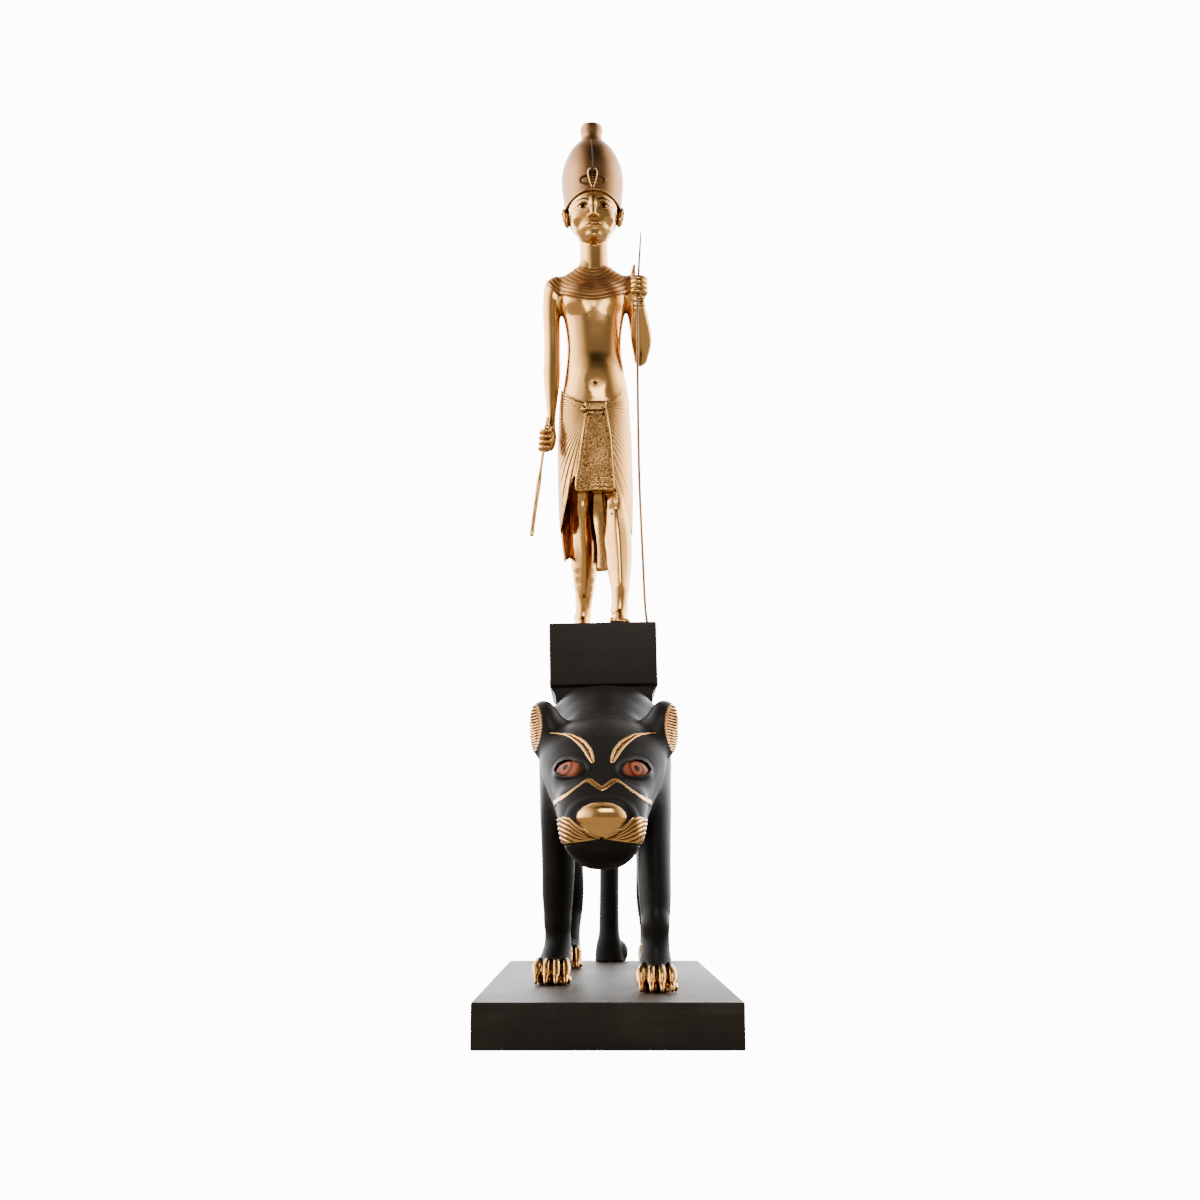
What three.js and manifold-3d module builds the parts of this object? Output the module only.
// A gilded king in the tall white crown stands with staff and flail on a pedestal,
// which a black leopard with gilded features carries on its back, all on a black plinth.
// Millimetres, +Z up. The origin is the middle of the plinth's underside, and the statue faces -Y.
import * as THREE from 'three';
import { mergeVertices } from 'three/addons/utils/BufferGeometryUtils.js';
import Module from 'manifold-3d';

const wasm = await Module();
wasm.setup();

// Driving dimensions
const plinth_width = 204;
const plinth_length = 556;
const plinth_height = 35;
const plinth_edge = 1.2; // bevel on the plinth's edges
const leopard_length = 500; // nose to rump, without the tail
const leopard_x = 1.5; // the leopard's axis crosses the plinth's at this distance
const leopard_yaw_deg = -1.3; // it walks slightly off the plinth's long axis
const pedestal_width = 96;
const pedestal_length = 142;
const pedestal_height = 57; // the square block that shows above the saddle
const pedestal_edge = 0.9;
const pedestal_x = -2;
const pedestal_y = -22;
const pedestal_rise = 257.5; // underside of the block above the plinth
const pedestal_roll_deg = 1.1; // the block and the king lean a little to the king's right
const saddle_depth = 36; // how far the saddle's cheeks reach down over the back
const saddle_inset = 5.2; // how far the saddle's sides stand in from the block's
const saddle_set_back = 4; // how far its ends stand in
const king_height = 507; // soles to the crown's knob
const king_x = -2.3; // the king's axis on the block
const king_y = 0;
const head_x = 1.3; // the head's offset from the body's axis
const kilt_x = -1.4; // the kilt hangs a little to his right
const collar_thickness = 1.1;
const kilt_wall = 2.6;
const staff_diameter = 2.3;
const flail_diameter = 4.0;
const eye_width = 30;
const eye_height = 17;
const eye_depth = 10;
const uraeus_thickness = 1.2; // the cobra's coils and tail, let into the crown
const hood_thickness = 3.4;
const seat_gap = 0.3; // between pieces that touch
const grip_gap = 0.4; // between a fist and the rod that it holds

// Turning closed meshes into solids and back
function solid(geometry) {
  const bare = geometry.clone();
  for (const name of Object.keys(bare.attributes)) {
    if (name !== 'position') bare.deleteAttribute(name);
  }
  const merged = mergeVertices(bare, 1e-4);
  const triVerts = new Uint32Array(merged.index.array);
  const vertProperties = new Float32Array(merged.attributes.position.array);
  const made = new wasm.Manifold(new wasm.Mesh({ numProp: 3, vertProperties, triVerts }));
  if (made.volume() >= 0) return made;
  for (let i = 0; i < triVerts.length; i += 3) {
    [triVerts[i + 1], triVerts[i + 2]] = [triVerts[i + 2], triVerts[i + 1]];
  }
  return new wasm.Manifold(new wasm.Mesh({ numProp: 3, vertProperties, triVerts }));
}

function geometryOf(made) {
  const mesh = made.getMesh();
  const geometry = new THREE.BufferGeometry();
  geometry.setAttribute('position', new THREE.BufferAttribute(new Float32Array(mesh.vertProperties), 3));
  geometry.setIndex(new THREE.BufferAttribute(new Uint32Array(mesh.triVerts), 1));
  geometry.computeVertexNormals();
  return geometry;
}

const joined = (...parts) => parts.reduce((all, part) => all.add(part));

function placed(geometry, position, rotation = [0, 0, 0], scale = [1, 1, 1]) {
  const turn = new THREE.Quaternion().setFromEuler(new THREE.Euler(...rotation));
  const matrix = new THREE.Matrix4();
  matrix.compose(new THREE.Vector3(...position), turn, new THREE.Vector3(...scale));
  return solid(geometry.clone().applyMatrix4(matrix));
}

// Lofts: a list of rings with the same number of points, closed by a fan at each end
function loft(rings) {
  const sides = rings[0].length;
  const points = rings.flat();
  const faces = [];
  for (let r = 0; r + 1 < rings.length; r++) {
    for (let s = 0; s < sides; s++) {
      const next = (s + 1) % sides;
      const [a, b] = [r * sides + s, r * sides + next];
      const [c, d] = [a + sides, b + sides];
      faces.push(a, b, d, a, d, c);
    }
  }
  for (const [ring, flip] of [[0, true], [rings.length - 1, false]]) {
    const middle = new THREE.Vector3();
    rings[ring].forEach((point) => middle.addScaledVector(point, 1 / sides));
    const hub = points.push(middle) - 1;
    for (let s = 0; s < sides; s++) {
      const [a, b] = [ring * sides + s, ring * sides + ((s + 1) % sides)];
      faces.push(...(flip ? [hub, b, a] : [hub, a, b]));
    }
  }
  const geometry = new THREE.BufferGeometry().setFromPoints(points);
  geometry.setIndex(faces);
  return solid(geometry);
}

// Angles around a section; a start of 0.5 puts a flat instead of a corner on the +X side
const circle = (sides, start = 0.5) => (
  Array.from({ length: sides }, (_, i) => ((i + start) / sides) * 2 * Math.PI));

// A limb: rows of [x, y, z, half-width, half-depth] in hundredths, the width kept across the body
function limb(rows, unit, sides = 8) {
  const at = rows.map(([x, y, z]) => new THREE.Vector3(x, y, z).multiplyScalar(unit));
  return loft(rows.map(([, , , wide, deep], i) => {
    const along = at[Math.min(i + 1, at.length - 1)].clone().sub(at[Math.max(i - 1, 0)]).normalize();
    const across = new THREE.Vector3(1, 0, 0).addScaledVector(along, -along.x).normalize();
    const out = along.clone().cross(across);
    return circle(sides).map((angle) => at[i].clone()
      .addScaledVector(across, wide * unit * Math.cos(angle))
      .addScaledVector(out, deep * unit * Math.sin(angle)));
  }));
}

// A round or oval lump, its radii in hundredths
function lump(unit, centre, radii, rotation = [0, 0, 0], [across, up] = [10, 7]) {
  const ball = new THREE.SphereGeometry(1, across, up);
  return placed(ball, centre.map((v) => v * unit), rotation, radii.map((v) => v * unit));
}

// A rod of round section through a list of points in millimetres
function rod(points, radius, sides = 8, steps = 8) {
  const path = new THREE.CatmullRomCurve3(points.map((p) => new THREE.Vector3(...p)));
  const section = new THREE.Shape().absarc(0, 0, radius, 0, 2 * Math.PI);
  const settings = { steps, extrudePath: path, bevelEnabled: false, curveSegments: sides / 2 };
  return solid(new THREE.ExtrudeGeometry(section, settings));
}

// An outline drawn in front view, as deep as asked, standing across Y
function frontPrism(shape, y_from, y_to, curveSegments = 6) {
  const settings = { depth: y_to - y_from, bevelEnabled: false, curveSegments };
  return placed(new THREE.ExtrudeGeometry(shape, settings), [0, y_to, 0], [Math.PI / 2, 0, 0]);
}

function shapeOf(points) {
  return new THREE.Shape(points.map((p) => new THREE.Vector2(...p)));
}

// A square-edged board or block, its edges slightly eased, standing on z = 0
function block(width, length, height, edge) {
  const [w, l] = [width / 2 - edge, length / 2 - edge];
  const outline = shapeOf([[-w, -l], [w, -l], [w, l], [-w, l]]);
  const settings = { depth: height - 2 * edge, bevelThickness: edge, bevelSize: edge, bevelSegments: 1 };
  return placed(new THREE.ExtrudeGeometry(outline, settings), [0, 0, edge]);
}

// Leopard. Lengths are hundredths of its own, z from its soles, and -y is forward.
const paw = leopard_length / 100;

// Nose to rump: [y, top, bottom, half-width, how much wider the upper half is, squareness]
const trunk_rows = [
  [-54.0, 27.4, 24.4, 2.6, 0, 2],
  [-53.4, 29.3, 22.6, 4.6, 0, 2.2],
  [-52.0, 31.0, 21.0, 6.0, 0, 2.5],
  [-50.0, 33.2, 19.9, 6.7, 0.1, 2.7],
  [-47.5, 36.0, 19.4, 6.9, 0.17, 2.7],
  [-45.0, 38.8, 20.6, 7.7, 0.24, 2.4],
  [-42.5, 41.2, 22.4, 8.7, 0.3, 2.2],
  [-40.0, 42.9, 24.2, 9.6, 0.3, 2.1],
  [-37.0, 44.1, 25.6, 9.8, 0.26, 2.1],
  [-34.0, 45.0, 26.0, 9.7, 0.15, 2.1],
  [-31.0, 46.4, 25.4, 9.6, 0, 2.1],
  [-28.0, 48.6, 24.4, 9.9, 0, 2.1],
  [-24.5, 50.5, 24.0, 10.6, 0, 2.2],
  [-19.0, 51.2, 24.6, 10.8, 0, 2.2],
  [-10.0, 50.0, 26.6, 10.0, 0, 2.1],
  [2.0, 48.2, 29.2, 8.9, 0, 2],
  [14.0, 47.0, 31.4, 8.5, 0, 2],
  [24.0, 47.4, 31.4, 9.4, 0, 2],
  [32.0, 47.2, 30.4, 10.1, 0, 2],
  [39.0, 44.9, 30.6, 9.2, 0, 2],
  [43.5, 41.5, 32.2, 6.6, 0, 2],
  [46.0, 38.4, 34.4, 2.6, 0, 2],
];

const squared = (v, n) => Math.sign(v) * Math.abs(v) ** (2 / n);

function trunk() {
  return loft(trunk_rows.map(([y, top, bottom, wide, spread, n]) => circle(14, 0).map((angle) => {
    const [c, s] = [squared(Math.cos(angle), n), squared(Math.sin(angle), n)];
    const z = (top + bottom) / 2 + ((top - bottom) / 2) * s;
    return new THREE.Vector3(wide * c * (1 + spread * s), y, z).multiplyScalar(paw);
  })));
}

// Forelegs: side is -1 for its right, foot is where the ankle stands along y
const shoulder_y = -22;
function foreleg(side, foot, out) {
  const y = (share) => shoulder_y + (foot - shoulder_y) * share;
  return limb([
    [7.4 * side, y(0), 41, 2.4, 5.2],
    [7.9 * side, y(0.05), 37, 3.1, 6.2],
    [8.3 * side, y(0.2), 31, 3.05, 5.2],
    [8.25 * side, y(0.45), 25, 2.95, 3.9],
    [8.25 * side, y(0.68), 19.5, 2.85, 3.1],
    [8.4 * side, y(0.85), 14.5, 2.65, 2.7],
    [8.45 * side, y(0.97), 10, 2.25, 2.3],
    [8.4 * side, y(1), 6.5, 2.35, 2.4],
    [(8.3 + 0.5 * out) * side, y(1) - 0.8, 3.6, 2.8, 3.1],
    [(8.25 + out) * side, y(1) - 1.5, 1.6, 3.1, 4.0],
    [(8.25 + out) * side, y(1) - 1.5, -0.4, 3.1, 4.0],
  ], paw);
}

// Hind legs: thigh, shank back to the hock, then down to the foot
const hip_y = 32.5;
function hindleg(side, foot, out) {
  const lead = foot - 33;
  return limb([
    [6.6 * side, hip_y, 43.5, 2.4, 6.4],
    [7.6 * side, hip_y, 39, 3.3, 8.0],
    [8.3 * side, hip_y - 1 + 0.15 * lead, 32, 3.4, 7.3],
    [8.2 * side, hip_y - 2.5 + 0.35 * lead, 26, 3.1, 5.4],
    [(8.0 + 0.4 * out) * side, hip_y - 2.2 + 0.6 * lead, 21, 2.8, 3.8],
    [(7.75 + 0.3 * out) * side, hip_y + 1.6 + 0.8 * lead, 16, 2.55, 2.8],
    [(7.7 + 0.3 * out) * side, foot + 3.6, 12, 2.3, 2.6],
    [(7.75 + 0.6 * out) * side, foot + 2.3, 8, 1.95, 2.1],
    [(7.9 + out) * side, foot + 0.6, 4.4, 2.3, 2.5],
    [(8.0 + out) * side, foot - 1.2, 2.0, 2.9, 3.9],
    [(8.0 + out) * side, foot - 1.2, -0.4, 2.9, 3.9],
  ], paw);
}

function toes(side, foot, out) {
  return [-2.5, -0.85, 0.85, 2.5].map((across) => {
    const back = 0.45 * Math.abs(across);
    const middle = [(8.4 + out) * side + across, foot - 4.9 + back, 1.6];
    return lump(paw, middle, [1.1, 2.5, 2.1], [0.2, 0, 0], [5, 4]);
  });
}

function ear(side) {
  const turn = [0, 0.28 * side, 1.2 * side];
  const body = lump(paw, [9.9 * side, -35.5, 42.4], [3.9, 2.9, 4.8], turn, [9, 6]);
  const cup = lump(paw, [12.5 * side, -36.7, 42.5], [3.3, 2.1, 4.1], turn, [8, 5]);
  return body.subtract(cup);
}

// The gilded relief of the face: brows, nose and whisker pads
function faceRelief() {
  const brow_rows = [
    [1.6, -47.2, 36.1],
    [1.4, -46.0, 37.4],
    [2.5, -44.0, 39.3],
    [4.6, -41.9, 40.7],
    [7.3, -39.7, 41.0],
  ];
  const brow_path = (side) => brow_rows.map(([x, y, z]) => [x * side * paw, y * paw, z * paw]);
  const brow = (side) => rod(brow_path(side), 0.8 * paw, 6, 5);
  const pad = (side) => (
    lump(paw, [3.9 * side, -51.9, 25.0], [3.4, 2.2, 2.0], [0, 0.3 * side, 0.4 * side], [7, 5]));
  const nose = lump(paw, [0, -52.4, 26.9], [4.4, 2.8, 3.0], [0.2, 0, 0], [10, 5]);
  return [nose, brow(-1), brow(1), pad(-1), pad(1)];
}

function tail() {
  return limb([
    [0, 42.0, 42.5, 2.0, 2.0],
    [0, 46.2, 42.2, 2.0, 2.0],
    [0, 49.6, 39.6, 2.0, 1.9],
    [-0.2, 51.2, 34, 2.05, 1.8],
    [-0.3, 51.4, 24, 2.05, 1.75],
    [-0.4, 51.0, 12, 2.05, 1.75],
    [-0.4, 50.7, 6, 2.2, 1.9],
    [-0.4, 50.6, 3.2, 2.8, 2.1],
    [-0.3, 50.6, 1.2, 3.1, 2.2],
    [-0.3, 50.6, -0.4, 3.1, 2.2],
  ], paw).add(lump(paw, [2.2, 51.4, 1.8], [2.4, 2.0, 2.6], [0, 0, 0], [7, 5]));
}

// Lens-shaped eyes and the sockets they sit in, looking forward, outward and a little up
const eye_at = (side) => [5.0 * side, -46.8, 34.85];
function eyeball(side, spare) {
  const radii = [eye_width / 2, eye_depth / 2, eye_height / 2].map((r) => (r + spare) / paw);
  return lump(paw, eye_at(side), radii, [-0.66, -0.44 * side, 0.6 * side, 'XZY'], [10, 6]);
}

function floorCutter() {
  const size = 2 * leopard_length;
  return placed(new THREE.BoxGeometry(size, size, size), [0, 0, -size / 2]);
}

// Where each foot stands along y, and how far it turns out
const feet = {
  fore_right: [-14.6, 0.9],
  fore_left: [-31.6, 0.1],
  hind_right: [31.4, 0.4],
  hind_left: [43.0, 0.6],
};

function leopardSolid() {
  const body = joined(
    trunk(),
    foreleg(-1, ...feet.fore_right), ...toes(-1, ...feet.fore_right),
    foreleg(1, ...feet.fore_left), ...toes(1, ...feet.fore_left),
    hindleg(-1, ...feet.hind_right), ...toes(-1, ...feet.hind_right),
    hindleg(1, ...feet.hind_left), ...toes(1, ...feet.hind_left),
    ear(-1), ear(1), tail(), ...faceRelief(),
  );
  return body.subtract(eyeball(-1, seat_gap)).subtract(eyeball(1, seat_gap)).subtract(floorCutter());
}

// Pedestal: a square block over a saddle with coved cheeks, cut to the leopard's back
function pedestalSolid(back) {
  const [half, inner] = [pedestal_width / 2, pedestal_width / 2 - saddle_inset];
  const cove = saddle_inset * 2.2;
  const side = new THREE.Shape();
  side.moveTo(-half + pedestal_edge, pedestal_height / 2);
  side.lineTo(-half + pedestal_edge, 0);
  side.quadraticCurveTo(-inner, -cove * 0.25, -inner, -cove);
  side.lineTo(-inner, -saddle_depth);
  side.lineTo(inner, -saddle_depth);
  side.lineTo(inner, -cove);
  side.quadraticCurveTo(inner, -cove * 0.25, half - pedestal_edge, 0);
  side.lineTo(half - pedestal_edge, pedestal_height / 2);
  const reach = pedestal_length / 2 - saddle_set_back;
  const saddle = frontPrism(side, -reach, reach, 4);
  return block(pedestal_width, pedestal_length, pedestal_height, pedestal_edge).add(saddle).subtract(back);
}

// King. Lengths are hundredths of his height, z from his soles, x from his axis.
const span = king_height / 100;

function across_rings(rows, sides, grow = 0) {
  return loft(rows.map(([z, y, wide, deep]) => circle(sides).map((angle) => (
    new THREE.Vector3(
      (wide + grow) * Math.cos(angle),
      y + (deep + grow) * Math.sin(angle),
      z,
    ).multiplyScalar(span)
  ))));
}

// Hips to neck: [z, y, half-width, half-depth]
const torso_rows = [
  [36, 0.2, 6.0, 4.0],
  [40, 0.1, 6.4, 4.3],
  [43.5, -0.1, 6.4, 4.4],
  [46.5, -0.3, 6.0, 4.2],
  [50, -0.3, 5.5, 3.7],
  [54.5, -0.1, 5.1, 3.3],
  [58, 0, 5.35, 3.5],
  [61.5, 0, 6.0, 3.8],
  [64.5, 0.1, 6.9, 3.7],
  [67.2, 0.3, 7.4, 3.1],
  [68.5, 0.4, 6.4, 2.8],
  [69.6, 0.4, 4.5, 2.7],
  [70.5, 0.35, 3.3, 2.6],
  [71.6, 0.3, 2.8, 2.6],
  [76.5, 0.2, 2.7, 2.9],
];

// Chin to brow
const head_rows = [
  [74.9, -2.5, 0.9, 0.8],
  [75.5, -2.0, 2.0, 2.0],
  [76.8, -1.2, 3.3, 3.4],
  [78.6, -0.6, 4.2, 4.4],
  [81, -0.3, 4.7, 4.9],
  [83.5, 0.0, 4.85, 5.1],
  [86, 0.1, 4.7, 4.9],
];

// The tall crown, from the nape up to its knob
const crown_rows = [
  [77.4, 2.0, 2.6, 2.6],
  [78.8, 1.6, 4.0, 3.9],
  [80.6, 1.1, 4.9, 4.9],
  [82.4, 0.6, 5.4, 5.6],
  [84.5, 0.4, 5.65, 5.95],
  [87.8, 0.4, 5.95, 6.1],
  [90.5, 0.4, 5.7, 5.8],
  [92.6, 0.4, 5.0, 5.1],
  [94.3, 0.4, 4.15, 4.2],
  [95.6, 0.4, 3.1, 3.2],
  [96.6, 0.4, 2.15, 2.2],
  [97.6, 0.4, 2.0, 2.0],
  [99.0, 0.4, 2.15, 2.15],
  [99.9, 0.4, 1.6, 1.6],
  [100.3, 0.4, 0.5, 0.5],
];

// The face looks out below a rim that arches over the brow
function crown(grow = 0) {
  const face = new THREE.Shape();
  face.moveTo(-7 * span, 70 * span);
  face.lineTo(-7 * span, 81.2 * span);
  face.quadraticCurveTo(-4 * span, 84.2 * span, 0, 84.2 * span);
  face.quadraticCurveTo(4 * span, 84.2 * span, 7 * span, 81.2 * span);
  face.lineTo(7 * span, 70 * span);
  return across_rings(crown_rows, 12, grow).subtract(frontPrism(face, -9 * span, 1.7 * span, 5));
}

function headSolid() {
  const nose = limb([
    [0, -4.9, 82.4, 0.35, 0.3],
    [0, -5.5, 80.6, 0.5, 0.5],
    [0, -5.75, 79.4, 0.85, 0.75],
    [0, -5.2, 78.9, 0.6, 0.5],
  ], span, 6);
  const ears = [-1, 1].map((side) => (
    lump(span, [5.15 * side, 0.7, 80.9], [1.1, 1.1, 1.9], [0.15, 0.2 * side, 0], [6, 5])));
  const lips = lump(span, [0, -4.55, 77.5], [1.35, 0.8, 0.6], [0, 0, 0], [8, 4]);
  return joined(across_rings(head_rows, 12), crown(), nose, lips, ...ears).translate(head_x, 0, 0);
}

// Right arm, hanging; left upper arm, hanging; left forearm, raised in front
const right_arm_rows = [
  [-7.0, 0.3, 67.6, 1.25, 1.4],
  [-7.7, 0.3, 65.9, 1.7, 1.9],
  [-8.0, 0.4, 62, 1.65, 1.8],
  [-7.95, 0.5, 57, 1.55, 1.6],
  [-8.0, 0.5, 52.8, 1.55, 1.5],
  [-8.1, 0.1, 49.2, 1.6, 1.5],
  [-8.2, -0.6, 45, 1.2, 1.2],
  [-8.3, -1.1, 41.0, 0.8, 0.9],
  [-8.45, -1.5, 38.8, 0.9, 1.3],
];
const left_upper_arm_rows = [
  [7.0, 0.3, 67.6, 1.25, 1.4],
  [7.6, 0.4, 65.9, 1.65, 1.9],
  [8.0, 0.7, 62, 1.6, 1.75],
  [8.5, 1.1, 57.5, 1.65, 1.6],
  [8.8, 1.1, 53.4, 1.5, 1.45],
  [8.65, 0.9, 51.7, 0.6, 0.7],
];
const left_forearm_rows = [
  [8.7, 1.4, 52.0, 0.5, 0.6],
  [8.85, 0.2, 53.1, 1.5, 1.4],
  [8.9, -1.7, 55.6, 2.1, 1.6],
  [8.75, -3.6, 58.2, 1.9, 1.4],
  [8.55, -5.3, 60.8, 1.3, 1.1],
  [8.5, -6.2, 62.2, 1.1, 1.0],
  [8.55, -6.9, 63.4, 1.15, 1.3],
];

// The path of each rod as [x, y, z], and a fist closed on it
const staff_rows = [
  [8.6, -7.4, 0],
  [8.2, -7.4, 4],
  [7.95, -7.4, 14.5],
  [7.72, -7.4, 26],
  [7.75, -7.4, 38],
  [7.95, -7.4, 51.5],
  [8.35, -7.4, 64.2],
  [9.1, -7.4, 74.6],
];
const flail_rows = [
  [-9.0, -2.8, 40.4],
  [-9.55, -2.8, 36],
  [-10.7, -3.2, 28.2],
  [-11.6, -4.1, 22],
  [-12.15, -5.2, 17.4],
];

function fist(x, y, z, side, tilt) {
  const palm = lump(span, [x, y, z], [1.35, 1.55, 1.85], [0, tilt, 0], [6, 4]);
  const fingers = [-1.32, -0.44, 0.44, 1.32].map((rise) => {
    const middle = [x - rise * Math.sin(-tilt), y - 0.55, z + rise * Math.cos(tilt)];
    return lump(span, middle, [1.45, 1.45, 0.54], [0, tilt, 0], [6, 3]);
  });
  const thumb_at = [x - 0.75 * side, y - 0.2, z + 2.1];
  const thumb = lump(span, thumb_at, [0.5, 0.6, 1.5], [0, tilt + 0.2 * side, 0], [6, 3]);
  return joined(palm, ...fingers, thumb);
}

const throughSpan = (rows) => rows.map((row) => row.map((v) => v * span));
const top_of_rod = 1.5; // the grip holes run past the rods' ends

function grip(rows, diameter) {
  const path = throughSpan(rows);
  const [first, last] = [path[0], path[path.length - 1]];
  const start = [first[0], first[1], first[2] - Math.sign(last[2] - first[2]) * top_of_rod];
  const longer = [start, ...path.slice(1)];
  return rod(longer, diameter / 2 + grip_gap, 8, 8);
}

// Legs: the left one strides forward
function leg(side, ankle) {
  const y = (share) => 0.4 + (ankle - 0.4) * share;
  return limb([
    [3.0 * side, y(0.0), 40, 2.9, 3.6],
    [3.1 * side, y(0.2), 32, 2.9, 3.3],
    [3.1 * side + 0.1, y(0.45) - 0.2, 25.5, 2.35, 2.6],
    [3.1 * side + 0.2, y(0.55), 22, 2.2, 2.4],
    [3.15 * side + 0.4, y(0.7) + 0.35, 17.5, 2.65, 2.75],
    [3.2 * side + 0.55, y(0.8) + 0.3, 13, 2.45, 2.5],
    [3.3 * side + 0.55, y(0.95), 8, 1.75, 1.8],
    [3.35 * side + 0.35, y(1), 4.6, 1.5, 1.6],
    [3.4 * side + 0.2, y(1), 2.6, 1.5, 1.9],
    [3.4 * side + 0.2, y(1), -0.3, 1.5, 2.0],
  ], span);
}

function foot(side, ankle) {
  const rows = [
    [ankle + 2.6, 1.0, 0.9],
    [ankle + 2.2, 1.45, 2.2],
    [ankle + 0.5, 1.6, 3.6],
    [ankle - 1.8, 1.6, 3.3],
    [ankle - 4.2, 1.75, 2.3],
    [ankle - 6.6, 1.95, 1.5],
    [ankle - 8.2, 1.9, 1.25],
    [ankle - 9.0, 1.4, 0.9],
  ];
  return loft(rows.map(([y, wide, top]) => circle(8).map((angle) => new THREE.Vector3(
    3.4 * side + 0.2 + wide * Math.cos(angle),
    y,
    top * (0.35 + 0.65 * Math.sin(angle)),
  ).multiplyScalar(span))));
}

// Kilt: a pleated shell, long behind and cut away in front, with a hanging apron
const kilt_rows = [
  [12.6, 1.3, 6.0, 4.6],
  [16, 1.1, 6.45, 5.0],
  [20, 0.8, 6.8, 5.3],
  [25, 0.3, 7.0, 5.5],
  [31, 0.0, 7.0, 5.4],
  [36, 0.0, 6.95, 5.1],
  [40, 0.0, 6.75, 4.75],
  [43.5, -0.1, 6.5, 4.5],
  [46.4, -0.2, 6.1, 4.3],
];
const hem_z = 25.4; // where the solid hips end and the open skirt begins

function kilt() {
  const outer = across_rings(kilt_rows, 16);
  const skirt_rows = kilt_rows.filter((row) => row[0] <= hem_z);
  skirt_rows[0] = [8, ...skirt_rows[0].slice(1)];
  const closing_rows = [[hem_z + 2, 0.3, 6.6, 5.0], [hem_z + 4, 0.3, 4.5, 3.5]];
  const hollow = across_rings([...skirt_rows, ...closing_rows], 12, -kilt_wall / span);
  const outline = (points) => shapeOf(points.map((p) => p.map((v) => v * span)));
  const low = outline([[-9, 8], [9, 8], [9, 17], [6.9, 17.6], [5.9, 20], [4.6, 23], [4.0, 25.2], [0, 26.4],
    [-4.0, 28.6], [-5.2, 24.6], [-6.2, 20.6], [-6.9, 18], [-9, 17]]);
  const waist = outline([[-9, 50], [-6.4, 47], [-5.2, 44.4], [-2.4, 42.6], [0, 42], [2.4, 42.6], [5.2, 44.4],
    [6.4, 47], [9, 50]]);
  const back_hem = outline([[-9, 8], [9, 8], [9, 13.4], [4, 13.8], [1.2, 12.2], [0, 12.6], [-2.6, 15.6],
    [-4.6, 15.6], [-6.1, 13.2], [-9, 13.2]]);
  const open_front = frontPrism(low, -12 * span, 1.6 * span).add(frontPrism(back_hem, 0, 12 * span));
  const above_waist = frontPrism(waist, -12 * span, 12 * span);
  return outer.subtract(hollow).subtract(open_front).subtract(above_waist).translate(kilt_x, 0, 0);
}

function apron() {
  const rows = [
    [25.6, -5.3, -3.9, 3.1],
    [26.4, -5.4, -4.0, 3.2],
    [31, -5.2, -3.4, 3.0],
    [36, -4.9, -2.7, 2.8],
    [40.2, -4.4, -2.0, 2.2],
    [42.4, -4.2, -1.8, 2.0],
  ];
  return loft(rows.map(([z, y, left, right]) => {
    const middle = (left + right) / 2;
    const near = 0.3 * (right - left);
    const section = [[left, y + 2], [right, y + 2], [right, y + 0.35], [middle + near, y - 0.35],
      [middle, y - 0.55], [middle - near, y - 0.35], [left, y + 0.35]];
    return section.map(([x, deep]) => new THREE.Vector3(x, deep, z).multiplyScalar(span));
  }));
}

// The broad collar: the shoulders grown by its thickness, within an oval about the neck
function collar() {
  const grow = collar_thickness / span;
  const shoulders = across_rings(torso_rows.filter((row) => row[0] > 61 && row[0] < 72), 12, grow);
  const caps = [right_arm_rows, left_upper_arm_rows].map((rows) => (
    limb(rows.slice(0, 3).map(([x, y, z, w, d]) => [x, y, z, w + grow, d + grow]), span)));
  const oval = new THREE.Shape().absellipse(0, 71.1 * span, 9.1 * span, 6.7 * span, 0, 2 * Math.PI);
  return joined(shoulders, ...caps).intersect(frontPrism(oval, -9 * span, 9 * span, 8));
}

function kingSolid() {
  const figure = joined(
    across_rings(torso_rows, 12), headSolid(), collar(), kilt(), apron(),
    limb(right_arm_rows, span), limb(left_upper_arm_rows, span), limb(left_forearm_rows, span),
    fist(-8.45, -1.9, 36.1, -1, 0.1), fist(8.45, -7.0, 64.3, 1, 0),
    leg(-1, 4.6), leg(1, -3.4), foot(-1, 4.6), foot(1, -3.4),
  );
  return figure.subtract(grip(staff_rows, staff_diameter)).subtract(grip(flail_rows, flail_diameter))
    .subtract(floorCutter());
}

// Flail: handle, two ferrules and the hanging strand, in one rod
function flailSolid() {
  const path = throughSpan(flail_rows);
  const ferrule = (i) => placed(new THREE.SphereGeometry(1, 6, 4), path[i], [0, 0, 0], [2.4, 2.4, 2.4]);
  return rod(path, flail_diameter / 2, 8, 6).add(ferrule(2)).add(ferrule(4));
}

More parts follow.
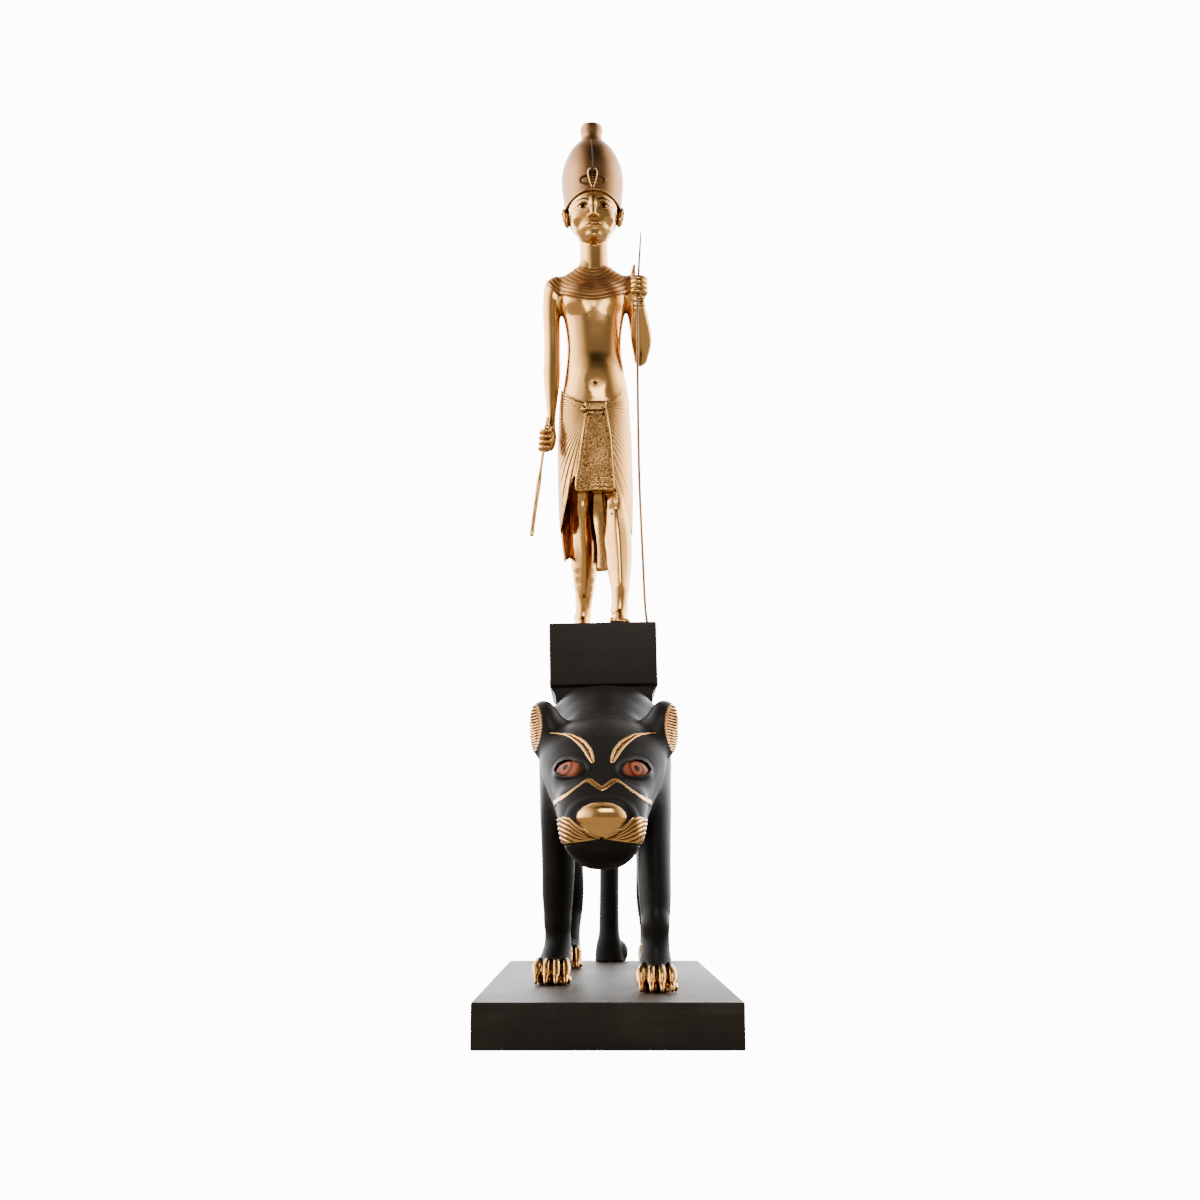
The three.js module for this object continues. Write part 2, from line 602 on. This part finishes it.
// Cobra on the brow: a hood, a coil looped to each side and a tail that runs up the crown
function uraeusSolid() {
  const gap = seat_gap / span;
  const ring = new THREE.Shape().absellipse(0, 86.1 * span, 2.45 * span, 0.95 * span, 0, 2 * Math.PI);
  ring.holes.push(new THREE.Path().absellipse(0, 86.1 * span, 1.95 * span, 0.45 * span, 0, 2 * Math.PI));
  const strip_points = [[-0.18, 87], [0.18, 87], [-0.1, 95.4], [-0.34, 95.4]];
  const strip = shapeOf(strip_points.map((p) => p.map((v) => v * span)));
  const hood = new THREE.Shape();
  hood.moveTo(-0.3 * span, 84.4 * span);
  hood.quadraticCurveTo(-1.1 * span, 86.1 * span, -1.05 * span, 87.4 * span);
  hood.quadraticCurveTo(-0.7 * span, 88.5 * span, 0, 88.5 * span);
  hood.quadraticCurveTo(0.7 * span, 88.5 * span, 1.05 * span, 87.4 * span);
  hood.quadraticCurveTo(1.1 * span, 86.1 * span, 0.3 * span, 84.4 * span);
  const depth = [-9 * span, 0];
  const low = frontPrism(ring, ...depth, 4).add(frontPrism(strip, ...depth));
  const flat = low.intersect(crown(gap + uraeus_thickness / span));
  const raised = frontPrism(hood, ...depth, 4).intersect(crown(gap + hood_thickness / span));
  return flat.add(raised).subtract(crown(gap)).translate(head_x, 0, 0);
}

// Materials
const black = (roughness) => new THREE.MeshStandardMaterial({ color: 0x2a2725, roughness, metalness: 0 });
const gold = new THREE.MeshStandardMaterial({ color: 0xd9a441, roughness: 0.28, metalness: 1 });
const bronze = new THREE.MeshStandardMaterial({ color: 0x3a2412, roughness: 0.4, metalness: 1 });
const amber = new THREE.MeshStandardMaterial({ color: 0x7a2c16, roughness: 0.1, metalness: 0 });

function named(name, made, material) {
  const mesh = new THREE.Mesh(geometryOf(made), material);
  mesh.name = name;
  return mesh;
}

// Assembly
const statue = new THREE.Group();
statue.add(named('plinth', block(plinth_width, plinth_length, plinth_height, plinth_edge), black(0.6)));

const animal = new THREE.Group();
animal.position.set(leopard_x, 0, plinth_height + seat_gap);
animal.rotation.z = THREE.MathUtils.degToRad(leopard_yaw_deg);
const leopard = leopardSolid();
animal.add(named('leopard', leopard, black(0.5)));
animal.add(named('leopard_eye_right', eyeball(-1, 0), amber));
animal.add(named('leopard_eye_left', eyeball(1, 0), amber));
statue.add(animal);

const upper = new THREE.Group();
upper.position.set(pedestal_x, pedestal_y, plinth_height + pedestal_rise);
upper.rotation.y = THREE.MathUtils.degToRad(-pedestal_roll_deg);
statue.add(upper);

const figure = new THREE.Group();
figure.position.set(king_x, king_y, pedestal_height + seat_gap);
upper.add(figure);
statue.updateMatrixWorld(true);

// The leopard's body, grown by the seat gap, as the pedestal meets it
function backCutter() {
  const shifts = [0, 1, -1].flatMap((x) => [0, 1].map((z) => [x * seat_gap, 0, z * seat_gap]));
  const grown = shifts.map((shift) => trunk().translate(...shift));
  const legs = [foreleg(-1, ...feet.fore_right), foreleg(1, ...feet.fore_left)];
  const raised = legs.map((part) => part.translate(0, 0, seat_gap));
  const into = upper.matrixWorld.clone().invert().multiply(animal.matrixWorld);
  return solid(geometryOf(joined(...grown, ...legs, ...raised)).applyMatrix4(into));
}

upper.add(named('pedestal', pedestalSolid(backCutter()), black(0.55)));
figure.add(named('king', kingSolid(), gold));
figure.add(named('uraeus', uraeusSolid(), bronze));
figure.add(named('staff', rod(throughSpan(staff_rows), staff_diameter / 2, 8, 8), bronze));
figure.add(named('flail', flailSolid(), gold));

export default statue;
